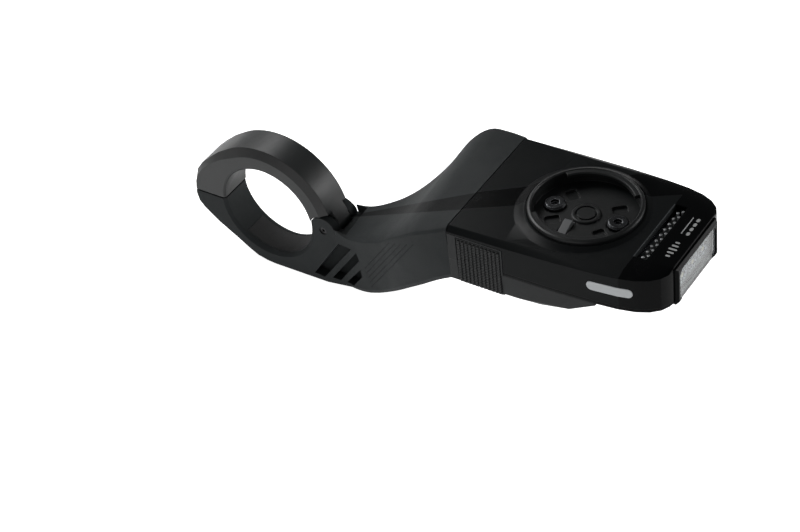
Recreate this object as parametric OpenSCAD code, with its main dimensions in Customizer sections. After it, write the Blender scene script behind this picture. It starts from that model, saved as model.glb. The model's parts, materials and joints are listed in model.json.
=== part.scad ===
// Out-front handlebar mount for a cycling computer, with a front light built into the holder.
// Origin: centre of the handlebar clamp. +X forwards, +Y along the handlebar, +Z up. Millimetres.

/* [Handlebar clamp] */
// Radius of the handlebar that the clamp closes on
bar_r = 15.9; // [15.6:0.1:16.2]
// Width of the clamp along the handlebar
clamp_w = 12; // [11:0.5:13]
// Outer radius of the upper strap
strap_r = 23.5; // [23.2:0.1:23.8]
// Depth of the recess for each grip pad
pad_t = 1.3; // [1:0.1:1.5]
// Radius of the hinge pin
pin_r = 1.25; // [1:0.05:1.4]
// Shank radius of the clamp bolt
bolt_r = 2; // [1.8:0.1:2.2]

/* [Arm] */
// Depth of the lightening pockets in the arm's flanks
pocket_d = 5; // [3:0.5:6]
// Gap between the arm and the light, at the seam
seam_gap = 0.3; // [0.2:0.05:0.4]

/* [Light] */
// Wall thickness of the housings
wall = 1.8; // [1.6:0.1:2]
// Sideways travel of the two release buttons
press = 1.6; // [1:0.1:1.8]
// Clearance around the release buttons in their windows
button_gap = 0.25; // [0.15:0.05:0.3]
// Number of tooth pairs on the heat sink
tooth_pairs = 9; // [6:1:10]

/* [Computer holder] */
// Centre of the quarter-turn socket, forwards of the clamp
ring_x = 110; // [109:0.5:111]
// Outer radius of the socket
ring_r = 16.6; // [16.4:0.1:16.8]
// Radius inside the two lips
lip_r = 13.8; // [13.6:0.1:14]
// Angle covered by each lip
lip_angle = 100; // [90:5:110]

/* [Quality] */
// Facets on round shapes
round_fn = 96; // [48:8:128]

/* [Hidden] */
$fn = round_fn;
eps = 0.01;
half_w = clamp_w / 2;
hinge_x = 20.7;
hinge_z = 0.2;
knuckle_r = 4.8;
tongue_w = 2.9;
strap_cut = 1.2;
bolt_x = -21.5;
seam_x = 78;
front_x = 143.6;
body_x = seam_x + seam_gap / 2;
parting_x = 96;
parting_z = 24.6;
ring_top = 38.6;
ring_floor = 34.4;
socket_z = 33.05;
screw_dx = 10;
tongue_x = -2.5;
btn_x0 = 81;
btn_x1 = 95;
btn_z0 = 15.8;
btn_z1 = 32.8;
lens_z = 29.6;
led_pitch = 6.2;
window_x = 128.4;
cover_x = 96.4;
cover_z = 16.1;

// ---- shared helpers ----

// Solid made from an outline in the X-Z plane, between two Y planes
module flank(points, y0, y1) {
    translate([0, y1, 0]) rotate([90, 0, 0]) linear_extrude(y1 - y0) polygon(points);
}

// Box given by its two opposite corners
module block(a, b) {
    translate(a) cube(b - a);
}

// Solid made from an outline in the Y-Z plane, between two X planes
module section(points, x0, x1) {
    translate([x0, 0, 0]) rotate([90, 0, 90]) linear_extrude(x1 - x0) polygon(points);
}

// Cylinder along Y, from y0 to y1
module rod_y(x, z, r, y0, y1) {
    translate([x, y0, z]) rotate([-90, 0, 0]) cylinder(r = r, h = y1 - y0);
}

// Cylinder along X, from x0 to x1
module rod_x(y, z, r, x0, x1) {
    translate([x0, y, z]) rotate([0, 90, 0]) cylinder(r = r, h = x1 - x0);
}

// Both sides of the plane of symmetry
module both_sides() {
    children();
    mirror([0, 1, 0]) children();
}

// Rounded rectangle with exact arcs, centred
module round_rect(w, h, r) {
    union() {
        square([w - 2 * r, h], center = true);
        square([w, h - 2 * r], center = true);
        for (sx = [-1, 1], sy = [-1, 1])
            translate([sx * (w / 2 - r), sy * (h / 2 - r)]) circle(r, $fn = 32);
    }
}

// Rounded rectangle standing across X, from x0 to x1
module face_x(w, h, r, x0, x1, z = lens_z) {
    translate([x0, 0, z]) rotate([90, 0, 90]) linear_extrude(x1 - x0) round_rect(w, h, r);
}

// Catmull-Rom value between four equally spaced samples
function blend(a, b, c, d, t) = 0.5 * (2 * b + (c - a) * t + (2 * a - 5 * b + 4 * c - d) * t * t
    + (3 * b - a - 3 * c + d) * t * t * t);

// ---- arm ----

// Stations along the arm: x, half width at the top, half width underneath, height of the right
// and of the left top edge, height of the underside, size of the edge chamfer
arm_stations = [
    [24, 6.0, 5.2, 2.8, 3.4, -20.6, 0.3],
    [30, 7.5, 6.4, 1.9, 3.2, -20.3, 0.3],
    [36, 9.6, 8.4, 4.2, 5.2, -17.9, 0.4],
    [42, 11.9, 10.4, 7.8, 8.6, -14.2, 0.5],
    [48, 14.7, 13.1, 12.3, 13.6, -9.3, 0.7],
    [54, 18.2, 16.4, 18.0, 20.3, -3.7, 0.9],
    [60, 21.0, 19.0, 23.2, 29.0, 1.8, 1.1],
    [66, 22.6, 20.8, 27.8, 34.0, 6.8, 1.3],
    [72, 23.1, 21.6, 31.0, 34.6, 11.4, 1.4],
    [78, 23.2, 22.0, 34.1, 34.2, 15.2, 1.5]
];
arm_steps = 4;
arm_spans = 8;
function station(i) = arm_stations[min(max(i, 0), len(arm_stations) - 1)];
function arm_at(i, t) = [for (k = [0:6])
    blend(station(i - 1)[k], station(i)[k], station(i + 1)[k], station(i + 2)[k], t)];
arm_rows = concat(
    [for (i = [0:len(arm_stations) - 2], s = [0:arm_steps - 1]) arm_at(i, s / arm_steps)],
    [station(len(arm_stations) - 1)]);
// Cross-section ring, from the underside up the right flank, over the top and down the left flank
function arm_ring(a) = let (x = min(a[0], seam_x - seam_gap / 2), w = a[1], b = a[2], c = a[6]) [
    [x, -b + 2.2, a[5]], [x, -b + 0.7, a[5] + 0.6], [x, -b, a[5] + 2.2],
    [x, -w, a[3]], [x, -w + c * 0.4, a[3] + c * 0.65],
    each [for (k = [0:arm_spans]) let (f = k / arm_spans)
        [x, (2 * f - 1) * (w - c * 1.1), (1 - f) * a[3] + f * a[4] + c * 0.95]],
    [x, w - c * 0.4, a[4] + c * 0.65], [x, w, a[4]],
    [x, b, a[5] + 2.2], [x, b - 0.7, a[5] + 0.6], [x, b - 2.2, a[5]]
];
module arm_loft() {
    n = 11 + arm_spans;
    rows = len(arm_rows);
    points = [for (a = arm_rows) each arm_ring(a)];
    sides = [for (i = [0:rows - 2], j = [0:n - 1]) let (k = (j + 1) % n)
        each [[i * n + j, (i + 1) * n + k, (i + 1) * n + j], [i * n + j, i * n + k, (i + 1) * n + k]]];
    last = (rows - 1) * n;
    rear = [for (j = [1:n - 2]) [0, j + 1, j]];
    front = [for (j = [1:n - 2]) [last, last + j, last + j + 1]];
    polyhedron(points = points, faces = concat(sides, rear, front), convexity = 6);
}

// Slanted lightening pockets in the right flank
module flank_pockets() {
    slots = [
        [[26.2, -2.6], [32, -1.4], [19, -18.9], [15.2, -18.5]],
        [[34.3, -1.4], [35.2, -4.2], [25, -18], [22, -18]],
        [[35, -8], [35.2, -11], [30, -18], [27.3, -17.9]]
    ];
    for (s = slots) flank(s, -30, -half_w + pocket_d - 1.4);
}

module lower_clamp() {
    flank([[-27.1, -0.25], [-27.1, -1.8], [-26.5, -4.4], [-25, -6.3], [-23.3, -7.8], [-19.9, -10.6],
        [-16.4, -12.9], [-12.9, -15.2], [-9.4, -17.6], [-6.4, -19.4], [-2.9, -20.3], [0, -20.6],
        [20, -20.6], [33, -18.6], [34, -15], [34, -4], [29, 1], [27.2, 1.4], [24.9, 2.9], [23, 4.3],
        [16.2, 1.2], [15, -0.25]],
        -half_w, half_w);
    rod_y(hinge_x, hinge_z, knuckle_r, -half_w, half_w);
}

// Side wall of the tongue that plugs into the light, with the keyhole for a release button
module tongue_wall() {
    difference() {
        block([seam_x - 3, 12.2, 20], [93, 13.6, 29.4]);
        block([86, 12, 22.7], [90.1, 14, 26.9]);
        block([90, 12, 23.7], [93.1, 14, 25.9]);
    }
}

module mount_arm() {
    color([0.2, 0.21, 0.22]) difference() {
        union() {
            arm_loft();
            lower_clamp();
            both_sides() tongue_wall();
            block([seam_x - 3, -13.6, 18.6], [93, 13.6, 20]);
        }
        rod_y(0, 0, bar_r, -half_w - 1, half_w + 1);
        both_sides() translate([0, half_w - 1 + eps, 0]) rotate([-90, 0, 0])
            cylinder(r1 = bar_r, r2 = bar_r + 1, h = 1);
        // room for the strap's knuckle and for its shoulders as it swings
        rod_y(hinge_x, hinge_z, knuckle_r + 0.2, -tongue_w - 0.2, tongue_w + 0.2);
        block([hinge_x - 6, -tongue_w - 0.2, hinge_z], [hinge_x, tongue_w + 0.2, 8]);
        difference() {
            intersection() {
                rod_y(hinge_x, hinge_z, 9.2, -half_w - 0.3, half_w + 0.3);
                block([hinge_x + 2.2, -8, hinge_z + 0.5], [40, 8, 12]);
            }
            rod_y(hinge_x, hinge_z, knuckle_r, -8, 8);
        }
        intersection() {
            rod_y(hinge_x, hinge_z, knuckle_r + 0.8, -tongue_w - 0.2, tongue_w + 0.2);
            block([hinge_x + 1, -8, -3], [40, 8, 12]);
        }
        rod_y(hinge_x, hinge_z, pin_r + 0.03, -half_w - 1, half_w + 1);
        // bolt hole and the counterbore for its head
        translate([bolt_x, 0, -20]) cylinder(r = bolt_r + 0.2, h = 21);
        translate([bolt_x, 0, -20]) cylinder(r = 3.9, h = 14.8);
        pad_recess(-1);
        flank_pockets();
        mirror([0, 1, 0]) flank_pockets();
    }
}

// Curved pad seat in the bore; side = -1 is the lower half
module pad_recess(side, grow = 0) {
    difference() {
        intersection() {
            rod_y(0, 0, bar_r + pad_t, -4.2 + grow, 4.2 - grow);
            flank([[-10.5 + grow, side * 30], [-10.5 + grow, side * 8], [10.5 - grow, side * 8],
                [10.5 - grow, side * 30]], -5, 5);
        }
        rod_y(0, 0, bar_r, -6, 6);
    }
}

module grip_pad_lower() {
    color([0.11, 0.11, 0.12]) pad_recess(-1, 0.12);
}

module grip_pad_upper() {
    color([0.11, 0.11, 0.12]) pad_recess(1, 0.12);
}

// Outline of the strap from the bolt's lug, over the ring, to the hinge; inset on the two faces
strap_edge = [[-27, 0.3], [-26.9, 4.4], [-26, 7.8], [-23.8, 10.9], [-20.2, 14.3], [-16.6, 17.3]];
strap_face = [[-27, 0.3], [-26.6, 3.4], [-25.5, 6.3], [-23.4, 9.1], [-19.7, 12.5], [-15.4, 15.5]];
function arc_points(r, from, to, step) = [for (a = [from:-step:to]) [r * cos(a), r * sin(a)]];
module strap_body() {
    hull() {
        flank(concat(strap_edge, arc_points(strap_r, 127, 7, 5), [[hinge_x, 0.3]]),
            -half_w + strap_cut, half_w - strap_cut);
        flank(concat(strap_face, arc_points(strap_r - 2.9, 129, 9, 5), [[hinge_x, 0.3]]), -half_w, half_w);
    }
}

module clamp_strap() {
    color([0.17, 0.18, 0.19]) difference() {
        union() {
            difference() {
                strap_body();
                // straight ends over the two knuckles of the arm
                both_sides() flank([[14, -1], [16, 2.2], [20.5, 5.5], [23, 6.3], [26, 6.6], [30, 6], [30, -1]],
                    tongue_w, 8);
            }
            // knuckle at the hinge
            flank([[16, 10], [20, 12], [22.3, 7.2], [24.2, 3.9], [24.6, 2.6], [hinge_x, hinge_z], [17, 2]],
                -tongue_w, tongue_w);
            rod_y(hinge_x, hinge_z, knuckle_r - 0.2, -tongue_w, tongue_w);
        }
        rod_y(0, 0, bar_r, -half_w - 1, half_w + 1);
        both_sides() translate([0, half_w - 0.6 + eps, 0]) rotate([-90, 0, 0])
            cylinder(r1 = bar_r, r2 = bar_r + 0.6, h = 0.6);
        both_sides() rod_y(hinge_x, hinge_z, knuckle_r + 0.3, tongue_w, 8);
        rod_y(hinge_x, hinge_z, pin_r + 0.05, -8, 8);
        translate([bolt_x, 0, -1]) cylinder(r = 3.1, h = 7.6);
        pad_recess(1);
    }
}

module hinge_pin() {
    color("silver") difference() {
        rod_y(hinge_x, hinge_z, pin_r, -half_w + 0.35, half_w - 0.35);
        rod_y(hinge_x, hinge_z, 0.5, -half_w, -half_w + 1.2);
    }
}

module clamp_bolt() {
    color([0.25, 0.25, 0.27]) difference() {
        union() {
            translate([bolt_x, 0, -9.1]) cylinder(r = 3.5, h = 3.9);
            translate([bolt_x, 0, -9.1]) cylinder(r = bolt_r, h = 9);
            translate([bolt_x, 0, -1]) cylinder(r = bolt_r - 0.4, h = 6.6);
            translate([bolt_x, 0, 5.59]) cylinder(r1 = bolt_r - 0.4, r2 = bolt_r - 0.8, h = 0.5);
        }
        translate([bolt_x, 0, -9.2]) cylinder(r = 1.73, h = 2.3, $fn = 6);
    }
}

module strap_insert() {
    color([0.75, 0.6, 0.3]) translate([bolt_x, 0, 0.35]) difference() {
        union() {
            cylinder(r = 3.1, h = 1.4);
            translate([0, 0, 1.4]) cylinder(r = 2.8, h = 0.7);
            translate([0, 0, 2.1]) cylinder(r = 3.1, h = 1.8);
            translate([0, 0, 3.9]) cylinder(r = 2.8, h = 0.7);
            translate([0, 0, 4.6]) cylinder(r = 3.1, h = 1.65);
        }
        translate([0, 0, -1]) cylinder(r = bolt_r + 0.15, h = 9);
    }
}

// ---- light body ----

// Half outline of the body in plan, as x and half width, drawn in by d
function plan_half(d) = [
    [body_x, 23.2 - d], [96, 23.2 - d], [112, 22.9 - d], [124, 22.3 - d], [131, 21.6 - d],
    [136 - d * 0.3, 20.5 - d * 0.9], [139.5 - d * 0.6, 18.9 - d * 0.8], [141.9 - d * 0.8, 16.8 - d * 0.6],
    [143.2 - d * 0.95, 14.4 - d * 0.4], [front_x - d, 12.2 - d * 0.3]
];
function plan(d) = let (h = plan_half(d), n = len(h))
    concat([for (i = [0:n - 1]) [h[i][0], -h[i][1]]], [for (i = [n - 1:-1:0]) h[i]]);
// Edge of the flat top: the chamfer widens towards the front corners
top_half = [[body_x, 21.7], [96, 21.3], [112, 20.6], [124, 19.4], [131, 18.1], [136, 16.5],
    [139.6, 14.8], [141.8, 13.2], [143.1, 12.2], [143.4, 11.8]];
function top_plan() = let (n = len(top_half))
    concat([for (i = [0:n - 1]) [top_half[i][0], -top_half[i][1]]], [for (i = [n - 1:-1:0]) top_half[i]]);

// Thin slice whose height rises forwards
module slice(points, z, rise) {
    translate([body_x, 0, z]) rotate([0, -rise, 0]) translate([-body_x, 0, 0])
        linear_extrude(eps) polygon(points);
}

module body_envelope() {
    hull() {
        translate([0, 0, parting_z]) linear_extrude(eps) polygon(plan(0));
        slice(plan(0), 34.1, 1.7);
        slice(top_plan(), 35.5, 1.3);
    }
}

module body_cavity() {
    hull() {
        translate([0, 0, parting_z - 3]) linear_extrude(eps) polygon(plan(wall));
        slice(plan(wall), 32.4, 1.3);
        slice(plan(wall + 1.2), 33.3, 1.3);
    }
}

// Pad-shaped blocks that the housing screws bite into
module screw_post(x, y, z0, z1) {
    translate([x, y, z0]) cylinder(r = 2.2, h = z1 - z0);
}

post_at = [[99.6, 18.9], [119.2, 18.8]];

module top_housing() {
    color([0.1, 0.105, 0.11]) difference() {
        union() {
            difference() {
                body_envelope();
                // hollow, open below as far as the sloping floor at the front
                intersection() {
                    body_cavity();
                    flank([[body_x + wall, parting_z - 1], [123.6, parting_z - 1], [123.6, 26.3],
                        [142.5, 26.3], [142.5, 40], [body_x + wall, 40]], -30, 30);
                }
                block([body_x - 1, -30, 20], [parting_x, 30, 33.7]);
            }
            // seat under the socket
            intersection() {
                body_envelope();
                translate([ring_x, 0, 31.5]) cylinder(r = ring_r + 2, h = 6);
            }
            for (p = post_at) both_sides() screw_post(p[0], p[1], parting_z + 0.1, 33.5);
            // low skirt that runs from the roof up to the socket
            translate([ring_x, 0, 0]) rotate_extrude() polygon([[ring_r - 1, 35], [ring_r - 1, 37.3],
                [17.4, 37.2], [18.1, 36.8], [19, 36.35], [20.2, 35.9], [20.2, 35]]);
        }
        translate([ring_x, 0, socket_z - 0.05]) cylinder(r = ring_r + 0.15, h = 8);
        for (s = [-1, 1]) translate([ring_x + s * screw_dx, 0, 30]) cylinder(r = 1.05, h = 5);
        for (p = post_at) both_sides() translate([p[0], p[1], 20]) cylinder(r = 0.85, h = 10);
        // vent over the heat sink and the lens opening
        block([131.5, -12.4, 31], [135.3, 12.4, 40]);
        block([142, -12.35, 23.7], [150, 12.35, 36.4]);
        face_x(20.2, 8.6, 1.6, 139, 143);
        // windows for the side lights
        both_sides() translate([window_x, 18, 30.9]) rotate([90, 0, -4]) translate([0, 0, -8])
            linear_extrude(8) round_rect(13.6, 3.2, 1.59);
    }
}

// Lower shell: sides flush with the housing, underside rising at the front
module shell_envelope() {
    hull() {
        flank([[body_x, parting_z - 0.1], [124.8, parting_z - 0.1], [124.4, 23.8], [116, 19.2],
            [109, 18.1], [98, 17.4], [body_x, 16.9]], -22.2, 22.2);
        flank([[body_x, parting_z - 0.1], [100, parting_z - 0.1], [100, 17.5], [body_x, 16.9]],
            -22.9, 22.9);
        flank([[body_x, parting_z - 0.1], [123, parting_z - 0.1], [113, 17.4], [106, 15.9],
            [98, 15.4], [body_x, 15.2]], -20.8, 20.8);
        translate([0, 0, parting_z - 0.1 - eps]) linear_extrude(eps) polygon([[body_x, -23.15],
            [96, -23.15], [112, -22.85], [124, -22.2], [124, 22.2], [112, 22.85], [96, 23.15],
            [body_x, 23.15]]);
    }
}

module shell_hollow() {
    hull() {
        flank([[body_x + wall, parting_z + 1], [121.6, parting_z + 1], [114.6, 20.4], [108, 19.4],
            [body_x + wall, 19.2]], -20.6, 20.6);
        flank([[body_x + wall, parting_z + 1], [120.6, parting_z + 1], [112, 18.9], [105, 17.4],
            [97, 17], [body_x + wall, 17]], -18.6, 18.6);
    }
}

module lower_shell() {
    color([0.2, 0.21, 0.22]) difference() {
        union() {
            difference() {
                union() {
                    shell_envelope();
                    // tall part beside the buttons
                    intersection() {
                        union() {
                            body_envelope();
                            translate([0, 0, parting_z - 0.3]) linear_extrude(0.4) polygon(plan(0));
                        }
                        block([body_x - 1, -30, parting_z - 0.4], [parting_x - 0.25, 30, 33.5]);
                    }
                }
                shell_hollow();
                block([body_x + wall, -21.4, 20], [parting_x + 2, 21.4, 40]);
            }
            for (p = post_at) both_sides() intersection() {
                shell_envelope();
                screw_post(p[0], p[1], 10, parting_z - 0.1);
            }
            // ribs that the release springs push against
            both_sides() block([82.2, 15.4, 16.5], [86, 16.4, 28]);
            // posts under the circuit board
            for (p = [[96.5, 16.6], [110.5, 17.7]]) both_sides()
                block([p[0] - 1, 12, p[1]], [p[0] + 1, 14, 19.95]);
            // feet under the power switch, and thicker floor around the charging port
            both_sides() block([86.4, 5.7, 16.5], [89.6, 7, 18.28]);
            block([94.2, -8.2, 16.5], [110.4, 8.2, 18.3]);
        }
        // windows for the buttons, open to the underside
        both_sides() block([btn_x0 - 0.2, 19.7, 10], [btn_x1 + 0.2, 30, btn_z1 + 0.25]);
        // opening for the tongue of the arm
        block([body_x - 1, -13.9, 18.4], [body_x + wall + 1, 13.9, 29.7]);
        for (p = post_at) both_sides() {
            translate([p[0], p[1], 10]) cylinder(r = 1.1, h = 20);
        }
        both_sides() translate([post_at[0][0], post_at[0][1], 10]) cylinder(r = 2.1, h = 8.4);
        both_sides() translate([post_at[1][0], post_at[1][1], 10]) cylinder(r = 2.1, h = 12.4);
        // charging port and its cover
        block([cover_x, -6.2, 10], [109.2, 6.2, 16.65]);
        rod_y(cover_x, cover_z, 1.25, -6.2, 6.2);
        rod_y(cover_x, cover_z, 0.42, -7.4, 7.4);
        block([cover_x - 1.25, -6.2, 10], [cover_x, 6.2, cover_z]);
        translate([103, 0, 10]) linear_extrude(10) round_rect(9.4, 4.4, 2.1);
        // power button
        translate([88, 0, 10]) cylinder(r = 4.7, h = 10);
    }
}

module housing_screw(p, z) {
    translate([p[0], p[1], z]) difference() {
        union() {
            translate([0, 0, -1.3]) cylinder(r = 1.9, h = 1.3);
            cylinder(r = 0.85, h = 7);
        }
        translate([0, 0, -1.4]) cylinder(r = 0.75, h = 0.9, $fn = 6);
    }
}

module housing_screws() {
    color("silver") {
        both_sides() housing_screw(post_at[0], 18.38);
        both_sides() housing_screw(post_at[1], 22.38);
    }
}

// Push button on the right flank: ribbed pad, flange behind the wall and a keyhole leg
module release_button_right() {
    color([0.13, 0.135, 0.14]) difference() {
        union() {
            section([[-21.35, btn_z1], [-23.1, btn_z1], [-23.1, 17.4], [-21.35, btn_z0]], btn_x0, btn_x1);
            for (i = [0:10]) section([[-21.4, btn_z1 - 0.6], [-23.4, btn_z1 - 0.6], [-23.4, 17.3],
                [-21.4, btn_z0 - 0.25]], btn_x0 + 0.5 + i * 1.27, btn_x0 + 1.2 + i * 1.27);
            block([btn_x0 - 0.9, -21.3, 20.1], [btn_x1 + 0.7, -20.4, 33.2]);
            block([btn_x0, -21.4, 20.1], [btn_x1, -21.2, 32.5]);
            block([86.3, -20.5, 23], [89.6, -16, 26.6]);
            block([86.8, -16.1, 23.9], [89.2, -13.7, 25.7]);
            block([86.3, -13.8, 23], [89.6, -11.6, 26.6]);
        }
        rod_y(84.4, 24.8, 1.2, -20.5, -20.3);
    }
}

module release_button_left() {
    mirror([0, 1, 0]) release_button_right();
}

// Coil spring between the rib and the button: stacked turns along Y
module release_spring_right() {
    color("silver") translate([84.4, -16.45, 24.8]) rotate([90, 0, 0]) {
        rings = 6;
        step = 3.9 / rings;
        for (i = [0:rings - 1]) translate([0, 0, i * step]) difference() {
            cylinder(r = 1.6, h = 0.42, $fn = 32);
            translate([0, 0, -1]) cylinder(r = 1.15, h = 3, $fn = 32);
        }
        for (i = [0:rings - 2]) rotate([0, 0, i * 180]) translate([1.15, -0.25, i * step])
            cube([0.4, 0.5, step + 0.2]);
    }
}

module release_spring_left() {
    mirror([0, 1, 0]) release_spring_right();
}

// ---- quarter-turn socket ----

module lip_sector() {
    reach = 40;
    a = lip_angle / 2;
    translate([0, 0, ring_floor + 1]) linear_extrude(10)
        polygon([[0, 0], [reach * sin(a), reach * cos(a)], [0, reach * 1.6], [-reach * sin(a), reach * cos(a)]]);
}

module socket_ring() {
    color([0.09, 0.09, 0.095]) translate([ring_x, 0, 0]) difference() {
        union() {
            rotate_extrude() polygon([[0, socket_z], [ring_r, socket_z], [ring_r, 37.9], [ring_r - 0.25, 38.35],
                [ring_r - 0.8, ring_top], [15.6, ring_top], [15.3, 38.3], [15.3, ring_floor],
                [0, ring_floor]]);
            for (s = [0, 180]) rotate([0, 0, s]) intersection() {
                rotate_extrude() polygon([[lip_r, 37.3], [15.5, 37.3], [15.5, 38.4], [lip_r + 0.3, 38.4],
                    [lip_r, 38.1]]);
                lip_sector();
            }
            // raised centre hub
            rotate_extrude() polygon([[0, ring_floor - 0.2], [4.2, ring_floor - 0.2], [4.2, 34.8], [3.9, 35],
                [0, 35]]);
        }
        // groove in the hub and pockets in the floor
        rotate_extrude() polygon([[2.6, 34.5], [3.2, 34.5], [3.2, 36], [2.6, 36]]);
        for (s = [-1, 1]) translate([s * screw_dx, 0, 30]) cylinder(r = 1.35, h = 8);
        for (s = [-1, 1]) translate([s * screw_dx, 0, ring_floor - 0.5]) cylinder(r = 3.4, h = 3);
        for (a = [38, 142, 218, 322]) rotate([0, 0, a]) translate([9.6, 0, ring_floor - 0.7])
            linear_extrude(2) round_rect(4.4, 3.4, 0.8);
        translate([tongue_x, -7.5, ring_floor - 0.9]) linear_extrude(2) round_rect(3.2, 7.2, 0.6);
    }
}

module socket_screws() {
    color([0.35, 0.35, 0.37]) for (s = [-1, 1]) translate([ring_x + s * screw_dx, 0, 0]) difference() {
        union() {
            translate([0, 0, ring_floor - 0.48]) cylinder(r = 3.1, h = 1.2);
            translate([0, 0, ring_floor + 0.72]) cylinder(r1 = 3.1, r2 = 2.6, h = 0.4);
            translate([0, 0, 31.6]) cylinder(r = 1.05, h = 3);
        }
        translate([0, 0, ring_floor + 0.1]) cylinder(r = 1.4, h = 2, $fn = 6);
    }
}

// Leaf that clicks behind the computer's tab
module detent_tongue() {
    color([0.6, 0.6, 0.6]) translate([ring_x, 0, 0]) {
        leaf = 1.2;
        translate([tongue_x, 0, 0]) block([-leaf, -10.8, 33.9], [leaf, -4.2, 34.3]);
        translate([tongue_x, -5.6, 34.2]) rotate([90, 0, 90]) translate([0, 0, -leaf])
            linear_extrude(2 * leaf) polygon([[-4.4, 0], [0.9, 0], [0.2, 1.6], [-0.6, 1.6]]);
    }
}

// ---- optics and electronics ----

module heat_sink() {
    color([0.55, 0.56, 0.58]) {
        block([131.6, -12.2, 26.4], [137.2, 12.2, 33]);
        pitch = 23.4 / tooth_pairs;
        for (i = [0:tooth_pairs - 1], r = [0, 1])
            translate([133.5 + r * 1.1, -11.7 + pitch * (i + 0.28 + 0.44 * r), 32.9])
                cylinder(r1 = 0.56, r2 = 0.42, h = 3.2, $fn = 24);
    }
}

module led_board() {
    color([0.1, 0.3, 0.16]) block([137.25, -11.6, 26.4], [138.25, 11.6, 33.4]);
}

module led_chips() {
    color([0.95, 0.85, 0.4]) for (i = [-1, 0, 1])
        block([138.27, i * led_pitch - 1, lens_z - 1], [138.75, i * led_pitch + 1, lens_z + 1]);
}

module led_optics() {
    color([0.85, 0.88, 0.9, 0.6]) difference() {
        union() {
            for (i = [-1, 0, 1]) translate([138.9, i * led_pitch, lens_z]) rotate([0, 90, 0])
                rotate_extrude() polygon([[0, 0], [1.2, 0], [2.2, 1], [2.7, 2.1], [2.85, 3.1], [0, 3.1]]);
            face_x(19.4, 7.4, 1.5, 141.5, 142);
        }
        for (i = [-1, 0, 1]) translate([138.8, i * led_pitch, lens_z]) rotate([0, 90, 0])
            cylinder(r = 0.8, h = 1.2);
    }
}

module lens_bezel() {
    color([0.06, 0.06, 0.065]) difference() {
        block([142.05, -12.3, 23.9], [144.7, 12.3, 36.3]);
        face_x(21.8, 11, 2.3, 142.4, 146);
        face_x(20.2, 8.6, 1.6, 141, 146);
        // chamfered outer edges
        for (s = [-1, 1]) translate([144.7, s * 12.3, 30]) rotate([0, 0, 45]) cube([1, 1, 20], center = true);
        for (z = [23.9, 36.3]) translate([144.7, 0, z]) rotate([0, 45, 0]) cube([1, 30, 1], center = true);
    }
}

module front_lens() {
    color([0.9, 0.93, 0.95, 0.35]) face_x(21.6, 10.8, 2.2, 142.95, 144.2);
}

module lens_seal() {
    color([0.5, 0.5, 0.5]) difference() {
        face_x(21.6, 10.8, 2.2, 142.42, 142.9);
        face_x(20, 9.2, 1.6, 142, 143.5);
    }
}

module main_board() {
    color([0.1, 0.3, 0.16]) difference() {
        block([94.9, -16, 20], [113, 16, 21.2]);
        both_sides() block([111.4, 15, 19], [114, 17, 22]);
    }
}

module battery_cell() {
    color([0.55, 0.58, 0.62]) {
        block([96, -15.4, 26.35], [129.6, 15.4, 31.4]);
        block([129.6, -13.8, 27.2], [130.8, 13.8, 30.4]);
    }
}

module side_window_right() {
    color([0.92, 0.93, 0.94]) intersection() {
        translate([window_x, -18, 30.9]) rotate([90, 0, 4]) translate([0, 0, 1.9])
            linear_extrude(5) round_rect(13.4, 3, 1.49);
        translate([0, -0.08, 0]) body_envelope();
    }
}

module side_window_left() {
    mirror([0, 1, 0]) side_window_right();
}

module side_leds() {
    color([0.95, 0.85, 0.4]) both_sides() {
        block([122.4, 18.2, 29.2], [131.4, 18.9, 32.4]);
        for (x = [124.6, 129.2]) block([x - 0.8, 18.85, 30.1], [x + 0.8, 19.25, 31.7]);
    }
}

module charge_port() {
    color("silver") difference() {
        translate([103, 0, 16.75]) linear_extrude(3.2) round_rect(9, 3.6, 1.7);
        translate([103, 0, 16]) linear_extrude(3) round_rect(8.3, 2.7, 1.3);
    }
}

// Rubber flap over the port; it swings down about a pin at its rear end
module port_cover() {
    color([0.12, 0.12, 0.13]) difference() {
        union() {
            block([cover_x, -6, 15.5], [109, 6, 16.5]);
            rod_y(cover_x, cover_z, 0.9, -6, 6);
            translate([103, 0, 16.4]) linear_extrude(1.6) round_rect(7.4, 1.9, 0.9);
        }
        rod_y(cover_x, cover_z, 0.45, -7, 7);
    }
}

module port_hinge_pin() {
    color("silver") rod_y(cover_x, cover_z, 0.4, -7.3, 7.3);
}

module power_button() {
    color([0.12, 0.12, 0.13]) {
        translate([88, 0, 15]) cylinder(r = 4.5, h = 2.1);
        translate([88, 0, 17.05]) cylinder(r = 5.2, h = 0.45);
    }
}

module power_switch() {
    color("silver") {
        block([86, -7, 18.3], [90, 7, 18.5]);
        translate([88, 0, 18.12]) cylinder(r = 1.5, h = 0.2);
    }
}

mount_arm();
clamp_strap();
hinge_pin();
clamp_bolt();
strap_insert();
grip_pad_lower();
grip_pad_upper();
top_housing();
lower_shell();
housing_screws();
release_button_right();
release_button_left();
release_spring_right();
release_spring_left();
socket_ring();
socket_screws();
detent_tongue();
heat_sink();
lens_bezel();
front_lens();
lens_seal();
led_optics();
led_chips();
led_board();
main_board();
battery_cell();
side_window_right();
side_window_left();
side_leds();
charge_port();
port_cover();
port_hinge_pin();
power_button();
power_switch();
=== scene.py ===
"""Looks of the out-front handlebar mount with its built-in front light."""

import json
import math

import bmesh
import bpy
from mathutils import Matrix, Vector

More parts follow.
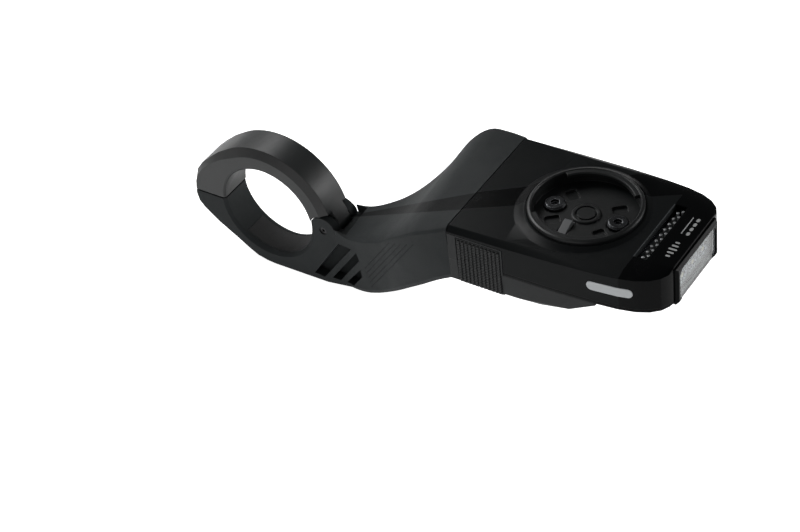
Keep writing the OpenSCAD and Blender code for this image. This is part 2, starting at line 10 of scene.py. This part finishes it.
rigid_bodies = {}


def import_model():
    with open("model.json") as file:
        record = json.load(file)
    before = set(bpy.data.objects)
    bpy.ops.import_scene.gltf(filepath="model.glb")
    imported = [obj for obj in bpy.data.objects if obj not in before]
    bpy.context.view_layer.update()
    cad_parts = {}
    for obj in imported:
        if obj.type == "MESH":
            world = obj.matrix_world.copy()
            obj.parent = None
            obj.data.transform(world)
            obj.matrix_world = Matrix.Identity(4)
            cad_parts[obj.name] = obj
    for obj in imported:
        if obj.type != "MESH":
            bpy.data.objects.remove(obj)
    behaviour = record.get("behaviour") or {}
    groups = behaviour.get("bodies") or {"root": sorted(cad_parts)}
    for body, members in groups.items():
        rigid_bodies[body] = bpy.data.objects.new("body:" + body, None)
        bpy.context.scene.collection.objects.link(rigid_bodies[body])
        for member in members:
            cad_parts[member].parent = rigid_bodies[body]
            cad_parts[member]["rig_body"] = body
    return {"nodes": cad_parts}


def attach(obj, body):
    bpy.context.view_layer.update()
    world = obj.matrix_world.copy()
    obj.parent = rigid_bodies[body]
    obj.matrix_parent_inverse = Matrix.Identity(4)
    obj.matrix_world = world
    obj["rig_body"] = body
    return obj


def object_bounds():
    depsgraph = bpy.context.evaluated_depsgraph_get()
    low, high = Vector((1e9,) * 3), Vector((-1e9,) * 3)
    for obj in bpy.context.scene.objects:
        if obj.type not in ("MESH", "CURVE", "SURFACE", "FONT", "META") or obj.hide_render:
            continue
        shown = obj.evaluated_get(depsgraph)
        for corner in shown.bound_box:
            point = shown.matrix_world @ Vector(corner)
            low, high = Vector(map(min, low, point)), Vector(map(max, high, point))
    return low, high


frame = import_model()
cad_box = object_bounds()
nodes = frame["nodes"]

MM = 0.001
SOFT_EDGE = 0.12 * MM
BLACK = (0.0016, 0.0019, 0.0021)

# The camera's place. The stripe on the arm is cut by two fixed planes through the same point.
EYE = Vector((367.7, -439.3, 455.0)) * MM
# Two points on each edge of the stripe, in millimetres; the second of each lies on the seam
STRIPE_LOW = ((31.6, 4.2, 2.6), (77.5, -14.4, 35.3))
STRIPE_HIGH = ((33.5, 7.2, 3.4), (78.7, -5.4, 35.5))


# ---- smooth shading, with the real edges kept ----

WELD_DISTANCE = 0.002 * MM
SHARP_ANGLE = math.radians(20)

for obj in nodes.values():
    mesh = obj.data
    if "custom_normal" in mesh.attributes:
        mesh.attributes.remove(mesh.attributes["custom_normal"])
    mesh.polygons.foreach_set("use_smooth", [True] * len(mesh.polygons))
    obj.modifiers.new("weld", "WELD").merge_threshold = WELD_DISTANCE
    obj.modifiers.new("edges", "EDGE_SPLIT").split_angle = SHARP_ANGLE


# ---- materials ----

# Sizes of the slow patterns that every moulded surface has
CLOUD_SIZE = 14 * MM
SCUFF_SIZE = 6 * MM
WEAR_SIZE = 3 * MM
ACRYLIC_IOR = 1.49


class Shader:
    """A material with a Principled shader and short calls for the nodes that feed it."""

    def __init__(self, name):
        self.material = bpy.data.materials.new(name)
        self.material.use_nodes = True
        self.tree = self.material.node_tree
        self.out = self.tree.nodes["Principled BSDF"]
        texture = self.add("ShaderNodeTexCoord")
        self.coords = texture.outputs["Object"]
        place = self.add("ShaderNodeSeparateXYZ")
        self.link(self.coords, place.inputs[0])
        self.x, self.y, self.z = place.outputs
        self.normal = texture.outputs["Normal"]

    def add(self, kind, **settings):
        n = self.tree.nodes.new(kind)
        for key, value in settings.items():
            setattr(n, key, value)
        return n

    def link(self, source, socket):
        self.tree.links.new(source, socket)

    def put(self, value, socket):
        if isinstance(value, bpy.types.NodeSocket):
            self.link(value, socket)
        else:
            socket.default_value = value

    def math(self, operation, *values):
        n = self.add("ShaderNodeMath", operation=operation)
        for value, socket in zip(values, n.inputs):
            self.put(value, socket)
        return n.outputs[0]

    def ramp(self, value, low, high, start=0.0, end=1.0, smooth=False):
        n = self.add("ShaderNodeMapRange", interpolation_type="SMOOTHSTEP" if smooth else "LINEAR")
        for v, socket in zip((value, low, high, start, end), n.inputs):
            self.put(v, socket)
        return n.outputs[0]

    def noise(self, size, detail=2.0, rough=0.5, stretch=None):
        n = self.add("ShaderNodeTexNoise")
        n.inputs["Scale"].default_value = 1.0 / size
        n.inputs["Detail"].default_value = detail
        n.inputs["Roughness"].default_value = rough
        source = self.coords
        if stretch:
            mapping = self.add("ShaderNodeMapping")
            mapping.inputs["Scale"].default_value = stretch
            self.link(self.coords, mapping.inputs[0])
            source = mapping.outputs[0]
        self.link(source, n.inputs["Vector"])
        return n.outputs["Fac"]

    def mix(self, factor, a, b):
        n = self.add("ShaderNodeMix", data_type="RGBA")
        self.put(factor, n.inputs[0])
        for value, socket in ((a, n.inputs[6]), (b, n.inputs[7])):
            self.put(value if isinstance(value, bpy.types.NodeSocket) else (*value, 1.0), socket)
        return n.outputs[2]

    def cloudy(self, size, detail, dark, light):
        """Slow drift between two close colours."""
        return self.mix(self.ramp(self.noise(size, detail), 0.3, 0.7), dark, light)

    def linear(self, a, b, c, d):
        """a*x + b*y + c*z + d, in metres."""
        total = self.math("MULTIPLY_ADD", self.x, a, d)
        total = self.math("MULTIPLY_ADD", self.y, b, total)
        return self.math("MULTIPLY_ADD", self.z, c, total)

    def past_x(self, x):
        return self.linear(1, 0, 0, -x)

    def past_z(self, z):
        return self.linear(0, 0, 1, -z)

    def margin(self, value, half_width):
        """Above 0 where the value lies within the half width of 0."""
        return self.math("SUBTRACT", half_width, self.math("ABSOLUTE", value))

    def inside(self, *values, soft=SOFT_EDGE):
        """1 where every value is above 0, with a soft edge."""
        result = None
        for value in values:
            part = self.ramp(value, -soft, soft, smooth=True)
            result = part if result is None else self.math("MULTIPLY", result, part)
        return result

    def facing_side(self):
        """1 where the surface faces straight to either side, 0 where it faces along X or Z."""
        facing = self.add("ShaderNodeSeparateXYZ")
        self.link(self.normal, facing.inputs[0])
        return self.math("ABSOLUTE", facing.outputs[1])

    def edge_normal(self, radius):
        n = self.add("ShaderNodeBevel", samples=6)
        n.inputs["Radius"].default_value = radius
        return n.outputs[0]

    def edge_mask(self, rounded):
        """1 along the edges that the rounding has changed."""
        geometry = self.add("ShaderNodeNewGeometry")
        dot = self.add("ShaderNodeVectorMath", operation="DOT_PRODUCT")
        self.link(rounded, dot.inputs[0])
        self.link(geometry.outputs["Normal"], dot.inputs[1])
        return self.ramp(dot.outputs["Value"], 0.995, 0.86, smooth=True)

    def bump(self, height, distance, normal):
        n = self.add("ShaderNodeBump")
        n.inputs["Strength"].default_value = 1.0
        n.inputs["Distance"].default_value = distance
        self.link(height, n.inputs["Height"])
        self.link(normal, n.inputs["Normal"])
        return n.outputs[0]


def moulded(name, dark, light, rough, spread=0.05, grain=0.35 * MM, depth=0.01 * MM,
            radius=0.22 * MM, edge_wear_and_highlight=0.5, metal=0.0, extra=None, stretch=None, specular=0.5):
    """Moulded or machined surface: cloudy colour, fine grain, rounded edges made lighter in
    patches, partly as wear and partly as a painted highlight.
    """
    s = Shader(name)
    colour = s.cloudy(CLOUD_SIZE, 3.0, dark, light)
    fine = s.noise(grain, 2.5, 0.6, stretch)
    roughness = s.ramp(fine, 0.25, 0.75, rough - spread, rough + spread)
    scuffs = s.ramp(s.noise(SCUFF_SIZE, 6.0, 0.75), 0.5, 0.72, 0.0, 0.07)
    roughness = s.math("ADD", roughness, scuffs)
    rounded = s.edge_normal(radius)
    patchy = s.ramp(s.noise(WEAR_SIZE, 4.0, 0.7), 0.35, 0.65, 0.3, 1.0)
    # Lighter colour along the rounded edges: partly wear, partly a painted highlight where the
    # edges catch the light.
    edge_wear_and_highlight_colour = tuple(min(1.0, c * (1.0 + edge_wear_and_highlight) + 0.01 * edge_wear_and_highlight) for c in light)
    colour = s.mix(s.math("MULTIPLY", s.edge_mask(rounded), patchy), colour, edge_wear_and_highlight_colour)
    height = fine
    if extra:
        colour, roughness, height = extra(s, colour, roughness, height)
    s.link(colour, s.out.inputs["Base Color"])
    s.link(roughness, s.out.inputs["Roughness"])
    s.link(s.bump(height, depth, rounded), s.out.inputs["Normal"])
    s.out.inputs["Metallic"].default_value = metal
    s.out.inputs["Specular IOR Level"].default_value = specular
    return s.material


def clear(name, tint, rough):
    """Clear plastic with a very slight haze."""
    s = Shader(name)
    s.link(s.cloudy(4 * MM, 2.0, tint, tuple(c * 0.97 for c in tint)), s.out.inputs["Base Color"])
    haze = s.ramp(s.noise(0.7 * MM, 3.0), 0.3, 0.7, rough, rough + 0.05)
    s.link(haze, s.out.inputs["Roughness"])
    s.out.inputs["Transmission Weight"].default_value = 1.0
    s.out.inputs["IOR"].default_value = ACRYLIC_IOR
    s.out.inputs["Specular IOR Level"].default_value = 0.15
    return s.material


# ---- what runs over single pieces: each call gives back colour, roughness and height ----

ARM_TOP_Z = 0.5 * MM
ROOF_Z = 35.2 * MM
PANEL_X = 131.4 * MM
# How steeply the stripe's two edges run across the roof, in Y over X
ROOF_SLOPE_LOW, ROOF_SLOPE_HIGH = 0.583, 0.69
# Engraved lines on the arm's flanks: number, spacing, first place, lean, and where they end.
# Each end moves by its gain times the distance from the first line.
LINES = 5
LINE_PITCH = 1.33 * MM
LINE_START = 33.0 * MM
LEAN_COS, LEAN_SIN = 0.809, 0.588
LINE_TOP, TOP_GAIN = 45.0 * MM, 2.2
LINE_FOOT, FOOT_GAIN = 18.5 * MM, -0.9
# Painted highlight along the rear rim of the vent
VENT_X = 131.35 * MM
VENT_Z = 35.0 * MM
VENT_HALF = 12.4 * MM
VENT_HIGHLIGHT_HALF, VENT_HIGHLIGHT_SOFT = 0.16 * MM, 0.05 * MM
# Joint along the lower edge of both sides
JOINT_X = 96.2 * MM
JOINT_Z = 25.52 * MM
JOINT_HALF, JOINT_SOFT = 0.13 * MM, 0.04 * MM
# Slanted knurl on the buttons
KNURL_PITCH = 0.95 * MM
KNURL_SLANT = 0.82
# LED optics
LED_PITCH = 6.2 * MM
LED_Z = 29.6 * MM
CUP_RADIUS = 2.7 * MM
CUP_RIM_RADIUS = 2.75 * MM
CUP_RIM_HALF, CUP_RIM_SOFT = 0.16 * MM, 0.06 * MM
CHIP_RADIUS = 0.75 * MM
OPTIC_HALF = 9.2 * MM
# Relief of the drawn details, as multiples of the material's bump depth
LINE_RELIEF, JOINT_RELIEF, KNURL_RELIEF, FACET_RELIEF = -8.0, -20.0, 12.0, 3.0


def stripe_plane(s, edge, side):
    """Height above the fixed plane through two points of the stripe's edge and the eye."""
    a, b = (Vector(point) * MM for point in edge)
    n = (a - EYE).cross(b - EYE).normalized() * side
    return s.linear(n.x, n.y, n.z, -n.dot(a))


def roof_line(s, edge, slope, side):
    """Distance, along Y, from the line that carries the stripe's edge across the roof."""
    x, y, _ = edge[1]
    return s.linear(-slope * side, side, 0, (slope * x - y) * side * MM)


def arm_details(s, colour, roughness, height):
    """Dark stripe on top, and the fine engraved lines on the flanks."""
    stripe = s.inside(s.past_z(ARM_TOP_Z), stripe_plane(s, STRIPE_LOW, -1),
                      stripe_plane(s, STRIPE_HIGH, 1))
    colour = s.mix(stripe, colour, (0.0022, 0.0028, 0.0034))
    across = s.linear(LEAN_COS, 0, -LEAN_SIN, -LINE_START)
    along = s.linear(LEAN_SIN, 0, LEAN_COS, 0)
    phase = s.math("FRACT", s.math("DIVIDE", across, LINE_PITCH))
    off_centre = s.math("ABSOLUTE", s.math("SUBTRACT", phase, 0.5))
    line = s.ramp(off_centre, 0.07, 0.15, 1.0, 0.0, smooth=True)
    upper_end = s.math("MULTIPLY_ADD", across, TOP_GAIN, LINE_TOP)
    lower_end = s.math("MULTIPLY_ADD", across, FOOT_GAIN, LINE_FOOT)
    window = s.inside(across, s.math("SUBTRACT", LINES * LINE_PITCH, across),
                      s.math("SUBTRACT", upper_end, along), s.math("SUBTRACT", along, lower_end))
    flank = s.ramp(s.facing_side(), 0.6, 0.7)
    line = s.math("MULTIPLY", s.math("MULTIPLY", line, window), flank)
    colour = s.mix(s.math("MULTIPLY", line, 0.75), colour, (0.006, 0.007, 0.008))
    return colour, roughness, s.math("MULTIPLY_ADD", line, LINE_RELIEF, height)


def housing_details(s, colour, roughness, height):
    """The stripe across the roof, the black front panel, a painted highlight along the vent's rim,
    and the joint line.
    """
    stripe = s.inside(roof_line(s, STRIPE_LOW, ROOF_SLOPE_LOW, 1),
                      roof_line(s, STRIPE_HIGH, ROOF_SLOPE_HIGH, -1), s.past_z(ROOF_Z))
    dark = s.math("MAXIMUM", stripe, s.inside(s.past_x(PANEL_X)))
    colour = s.mix(dark, colour, BLACK)
    roughness = s.math("MULTIPLY_ADD", dark, -0.12, roughness)
    # Painted highlight: a lighter line along the vent's rear rim.
    rim = s.inside(s.margin(s.past_x(VENT_X), VENT_HIGHLIGHT_HALF), soft=VENT_HIGHLIGHT_SOFT)
    reach = s.inside(s.margin(s.y, VENT_HALF), s.past_z(VENT_Z))
    colour = s.mix(s.math("MULTIPLY", rim, reach), colour, (0.055, 0.06, 0.062))
    joint = s.inside(s.margin(s.past_z(JOINT_Z), JOINT_HALF), soft=JOINT_SOFT)
    joint = s.math("MULTIPLY", joint, s.inside(s.past_x(JOINT_X)))
    colour = s.mix(s.math("MULTIPLY", joint, 0.9), colour, (0.001, 0.001, 0.001))
    return colour, roughness, s.math("MULTIPLY_ADD", joint, JOINT_RELIEF, height)


def shell_details(s, colour, roughness, height):
    """The black of the front panel goes on down the front of the lower shell."""
    panel = s.inside(s.past_x(PANEL_X))
    return s.mix(panel, colour, BLACK), s.math("MULTIPLY_ADD", panel, -0.1, roughness), height


def strap_details(s, colour, roughness, height):
    """The chamfers along both flanks get painted shade: their colour is darkened."""
    facing = s.facing_side()
    # Painted shade: darker colour on the chamfers between the flanks and the outer face.
    chamfer_shade = s.math("MULTIPLY", s.ramp(facing, 0.8, 0.86), s.ramp(facing, 0.985, 0.96))
    return s.mix(chamfer_shade, colour, (0.003, 0.0034, 0.0036)), roughness, height


def button_details(s, colour, roughness, height):
    """Fine slanted knurl on the pads, with painted shade darkening its grooves."""
    phase = s.math("MULTIPLY", s.linear(KNURL_SLANT, 0, -1, 0), 2 * math.pi / KNURL_PITCH)
    ridge = s.ramp(s.math("SINE", phase), -0.6, 0.6, smooth=True)
    # Painted shade: the colour darkens in the knurl's grooves.
    groove_shade = s.math("MULTIPLY_ADD", ridge, -0.35, 0.35)
    colour = s.mix(groove_shade, colour, (0.007, 0.008, 0.008))
    return colour, roughness, s.math("MULTIPLY_ADD", ridge, KNURL_RELIEF, height)


def optic_details(s, colour, roughness, height):
    """Sparkling facets round each LED, with a bright rim and a pale centre."""
    nearest = s.math("MULTIPLY", s.math("ROUND", s.math("DIVIDE", s.y, LED_PITCH)), LED_PITCH)
    beside = s.math("SUBTRACT", s.y, nearest)
    above = s.past_z(LED_Z)
    above_squared = s.math("MULTIPLY", above, above)
    radius = s.math("SQRT", s.math("MULTIPLY_ADD", beside, beside, above_squared))
    plate = s.margin(s.y, OPTIC_HALF)
    facets = s.ramp(s.noise(0.7 * MM, 1.0), 0.47, 0.56)
    cup = s.inside(s.math("SUBTRACT", CUP_RADIUS, radius), plate)
    colour = s.mix(cup, colour, s.mix(facets, (0.015, 0.018, 0.02), (0.75, 0.8, 0.84)))
    off_rim = s.math("SUBTRACT", radius, CUP_RIM_RADIUS)
    rim = s.inside(s.margin(off_rim, CUP_RIM_HALF), plate, soft=CUP_RIM_SOFT)
    colour = s.mix(rim, colour, (0.45, 0.48, 0.5))
    centre = s.inside(s.math("SUBTRACT", CHIP_RADIUS, radius))
    colour = s.mix(centre, colour, (0.8, 0.76, 0.55))
    sparkle = s.math("MULTIPLY", cup, facets)
    return colour, roughness, s.math("MULTIPLY_ADD", sparkle, FACET_RELIEF, height)


materials = {
    "arm": moulded("arm_satin", (0.021, 0.0238, 0.0247), (0.026, 0.029, 0.03), 0.66,
                   specular=0.13, extra=arm_details),
    "strap": moulded("strap_satin", (0.0115, 0.013, 0.0134), (0.014, 0.0158, 0.0162), 0.42,
                     specular=0.45, extra=strap_details),
    "shell": moulded("shell_satin", (0.0108, 0.0123, 0.0128), (0.0134, 0.015, 0.0156), 0.46,
                     specular=0.22, extra=shell_details),
    "roof": moulded("housing_gloss", (0.0062, 0.0071, 0.0074), (0.0076, 0.0086, 0.009), 0.34,
                    spread=0.03, depth=0.004 * MM, specular=0.07, extra=housing_details),
    "button": moulded("button_ribbed", (0.008, 0.009, 0.0094), (0.01, 0.0112, 0.0116), 0.55,
                      specular=0.3, extra=button_details),
    "ring": moulded("ring_satin", (0.0075, 0.0085, 0.0088), (0.0095, 0.0107, 0.011), 0.4,
                    spread=0.04, specular=0.3),
    "bezel": moulded("bezel_gloss", (0.0016, 0.0018, 0.002), (0.0024, 0.0027, 0.003), 0.24,
                     spread=0.03, depth=0.003 * MM, specular=0.05),
    "rubber": moulded("pad_rubber", (0.014, 0.014, 0.0145), (0.02, 0.02, 0.021), 0.78,
                      grain=0.5 * MM, depth=0.03 * MM),
    "steel": moulded("pin_steel", (0.36, 0.36, 0.37), (0.46, 0.46, 0.47), 0.32,
                     grain=0.3 * MM, stretch=(1, 0.05, 1), metal=1.0, edge_wear_and_highlight=0.2),
    # The screw heads' edges come out nearly white: a painted highlight on their rims.
    "dark_steel": moulded("screw_dark", (0.03, 0.032, 0.034), (0.05, 0.052, 0.055), 0.34,
                          grain=0.4 * MM, radius=0.2 * MM, metal=0.9, edge_wear_and_highlight=12.0),
    "bolt": moulded("bolt_black", (0.02, 0.02, 0.022), (0.032, 0.032, 0.034), 0.38,
                    metal=0.6, edge_wear_and_highlight=1.2),
    "brass": moulded("insert_brass", (0.55, 0.38, 0.14), (0.65, 0.47, 0.2), 0.3,
                     metal=1.0, edge_wear_and_highlight=0.2),
    "tongue": moulded("detent_grey", (0.1, 0.105, 0.108), (0.13, 0.135, 0.138), 0.4, edge_wear_and_highlight=0.4),
    "aluminium": moulded("sink_anodised", (0.26, 0.27, 0.275), (0.36, 0.37, 0.375), 0.42,
                         grain=0.4 * MM, stretch=(1, 0.08, 1), metal=0.8, edge_wear_and_highlight=0.6),
    "board": moulded("board_green", (0.008, 0.06, 0.022), (0.012, 0.09, 0.03), 0.35, edge_wear_and_highlight=0.3),
    "led_board": moulded("board_grey", (0.02, 0.022, 0.023), (0.03, 0.032, 0.034), 0.4, edge_wear_and_highlight=0.1),
    "cell": moulded("cell_foil", (0.32, 0.34, 0.36), (0.44, 0.46, 0.48), 0.34,
                    grain=1.2 * MM, depth=0.04 * MM, metal=0.7, edge_wear_and_highlight=0.1),
    "phosphor": moulded("led_phosphor", (0.75, 0.6, 0.12), (0.9, 0.75, 0.2), 0.5, edge_wear_and_highlight=0.0),
    "diffuser": moulded("diffuser_white", (0.44, 0.46, 0.47), (0.52, 0.54, 0.55), 0.3,
                        spread=0.03, depth=0.003 * MM, edge_wear_and_highlight=0.05),
    "print": moulded("print_grey", (0.3, 0.31, 0.31), (0.36, 0.37, 0.37), 0.5,
                     radius=0.02 * MM, edge_wear_and_highlight=0.0),
    "seal": moulded("seal_silicone", (0.12, 0.125, 0.13), (0.16, 0.166, 0.17), 0.5, edge_wear_and_highlight=0.1),
    "lens": clear("lens_clear", (0.8, 0.83, 0.84), 0.02),
    "optic": moulded("optic_facets", (0.15, 0.165, 0.17), (0.19, 0.205, 0.21), 0.25,
                     grain=0.6 * MM, depth=0.04 * MM, edge_wear_and_highlight=0.6, extra=optic_details),
}
taken_by = {
    "arm": ("mount_arm",),
    "strap": ("clamp_strap",),
    "steel": ("housing_screws", "release_spring_right", "release_spring_left", "charge_port",
              "port_hinge_pin", "power_switch"),
    "tongue": ("detent_tongue",),
    "bolt": ("clamp_bolt", "hinge_pin"),
    "brass": ("strap_insert",),
    "rubber": ("grip_pad_lower", "grip_pad_upper", "port_cover", "power_button"),
    "roof": ("top_housing",),
    "shell": ("lower_shell",),
    "button": ("release_button_right", "release_button_left"),
    "ring": ("socket_ring",),
    "dark_steel": ("socket_screws",),
    "aluminium": ("heat_sink",),
    "bezel": ("lens_bezel",),
    "lens": ("front_lens",),
    "seal": ("lens_seal",),
    "optic": ("led_optics",),
    "phosphor": ("led_chips", "side_leds"),
    "board": ("main_board",),
    "led_board": ("led_board",),
    "cell": ("battery_cell",),
    "diffuser": ("side_window_right", "side_window_left"),
}
for key, names in taken_by.items():
    for name in names:
        for slot in nodes[name].material_slots:
            slot.material = materials[key]


# ---- plain printed bars on the roof, in front of the vent ----

ABOVE_ROOF = 60 * MM
ROOF_HEIGHT = 36.9 * MM
PRINT_UNDER, PRINT_OVER = -0.04 * MM, 0.02 * MM
SAME_POINT = 0.001 * MM


def roof_height(x, y):
    hit, place, _, _ = nodes["top_housing"].ray_cast(Vector((x, y, ABOVE_ROOF)), Vector((0, 0, -1)))
    return place.z if hit else ROOF_HEIGHT


def bar_outline(x, y, wide, long, steps=6):
    """Rounded bar in plan: wide along X, long along Y."""
    r = min(wide, long) / 2
    reach_x, reach_y = wide / 2 - r, long / 2 - r
    outline = []
    for side_x, side_y, turn in ((1, 1, 0.0), (-1, 1, 0.5), (-1, -1, 1.0), (1, -1, 1.5)):
        for k in range(steps + 1):
            a = math.pi * (turn + 0.5 * k / steps)
            point = (x + side_x * reach_x + r * math.cos(a), y + side_y * reach_y + r * math.sin(a))
            if not outline or math.dist(point, outline[-1]) > SAME_POINT:
                outline.append(point)
    if math.dist(outline[0], outline[-1]) < SAME_POINT:
        outline.pop()
    return outline


def printed_bars(name, bars, body):
    bm = bmesh.new()
    for bar in bars:
        outline = bar_outline(*(size * MM for size in bar))
        under, over = ([bm.verts.new((x, y, roof_height(x, y) + lift)) for x, y in outline]
                       for lift in (PRINT_UNDER, PRINT_OVER))
        bm.faces.new(over)
        bm.faces.new(list(reversed(under)))
        for i in range(len(outline)):
            j = (i + 1) % len(outline)
            bm.faces.new((under[i], under[j], over[j], over[i]))
    mesh = bpy.data.meshes.new(name)
    bm.to_mesh(mesh)
    bm.free()
    obj = bpy.data.objects.new(name, mesh)
    bpy.context.scene.collection.objects.link(obj)
    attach(obj, body)
    obj.data.materials.append(materials["print"])


# x, y, size along X and size along Y of each bar, in millimetres
near_bars = [(139.7, -8.4 + i * 1.5, 2.6 - 0.6 * abs(i - 2), 0.65) for i in range(5)]
far_bars = [(140.5, 2.2 + i * 2.1, 0.95, 1.5) for i in range(4)] + [(138.7, 5.35, 0.3, 7.6)]
printed_bars("printed_bars", near_bars + far_bars, nodes["top_housing"]["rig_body"])


# ---- floor ----

FLOOR_SIZE = 6
FLOOR_GAP = 0.4 * MM
FLOOR_X = 60 * MM
GLOW_IN_REFLECTIONS, GLOW_TO_CAMERA = 0.5, 0.95


def floor_material():
    """White to the camera, and dimmer in what the part reflects."""
    white = (0.94, 0.94, 0.94)
    s = Shader("floor_white")
    s.link(s.cloudy(50 * MM, 2.0, white, tuple(c * 0.99 for c in white)),
           s.out.inputs["Base Color"])
    s.out.inputs["Roughness"].default_value = 0.85
    s.out.inputs["Emission Color"].default_value = (1.0, 1.0, 1.0, 1.0)
    seen = s.add("ShaderNodeLightPath").outputs["Is Camera Ray"]
    glow = s.ramp(seen, 0.0, 1.0, GLOW_IN_REFLECTIONS, GLOW_TO_CAMERA)
    s.link(glow, s.out.inputs["Emission Strength"])
    return s.material


below = cad_box[0][2] - FLOOR_GAP
bpy.ops.mesh.primitive_plane_add(size=FLOOR_SIZE, location=(FLOOR_X, 0, below))
floor = bpy.context.object
floor.name = "floor"
floor.data.materials.append(floor_material())


# ---- light ----

def area_light(name, place, target, size, power):
    data = bpy.data.lights.new(name, "AREA")
    data.energy = power
    data.size = size
    obj = bpy.data.objects.new(name, data)
    obj.location = place
    obj.rotation_euler = (Vector(target) - Vector(place)).to_track_quat("-Z", "Y").to_euler()
    bpy.context.scene.collection.objects.link(obj)


middle = (0.075, 0.0, 0.015)
area_light("key", (-0.5, 0.1, 0.6), middle, 0.35, 3.5)
area_light("fill", (0.1, -0.9, 0.2), middle, 0.8, 1.6)
area_light("rear_left", (-0.72, 0.6, 0.28), middle, 0.4, 0.2)
area_light("rear_right", (0.85, 0.6, 0.22), middle, 0.4, 0.8)
area_light("roof", (-0.11, 0.14, 0.21), (0.08, -0.01, 0.036), 0.1, 0.16)
area_light("clamp", (0.478, 0.366, 0.165), (0.028, 0.0, 0.015), 0.19, 0.8)

world = bpy.data.worlds.new("studio")
bpy.context.scene.world = world
world.use_nodes = True
background = world.node_tree.nodes["Background"]
background.inputs["Color"].default_value = (1.0, 1.0, 1.0, 1.0)
background.inputs["Strength"].default_value = 0.1
bpy.context.scene.view_settings.view_transform = "Standard"


# ---- camera, at the photograph's viewing angle ----

AZIMUTH, ELEVATION, ROLL = math.radians(36.412), math.radians(40.411), math.radians(-6.762)
LENS_LENGTH = 106.07

back = Vector((math.cos(ELEVATION) * math.sin(AZIMUTH), -math.cos(ELEVATION) * math.cos(AZIMUTH),
               math.sin(ELEVATION)))
level = Vector((math.cos(AZIMUTH), math.sin(AZIMUTH), 0.0))
right = level * math.cos(ROLL) + back.cross(level) * math.sin(ROLL)
up = back.cross(right)
data = bpy.data.cameras.new("camera")
data.sensor_width = 36.0
data.lens = LENS_LENGTH
data.clip_start = 0.01
camera = bpy.data.objects.new("camera", data)
camera.matrix_world = Matrix((right, up, back)).transposed().to_4x4()
camera.location = EYE
bpy.context.scene.collection.objects.link(camera)
bpy.context.scene.camera = camera

bpy.context.view_layer.update()
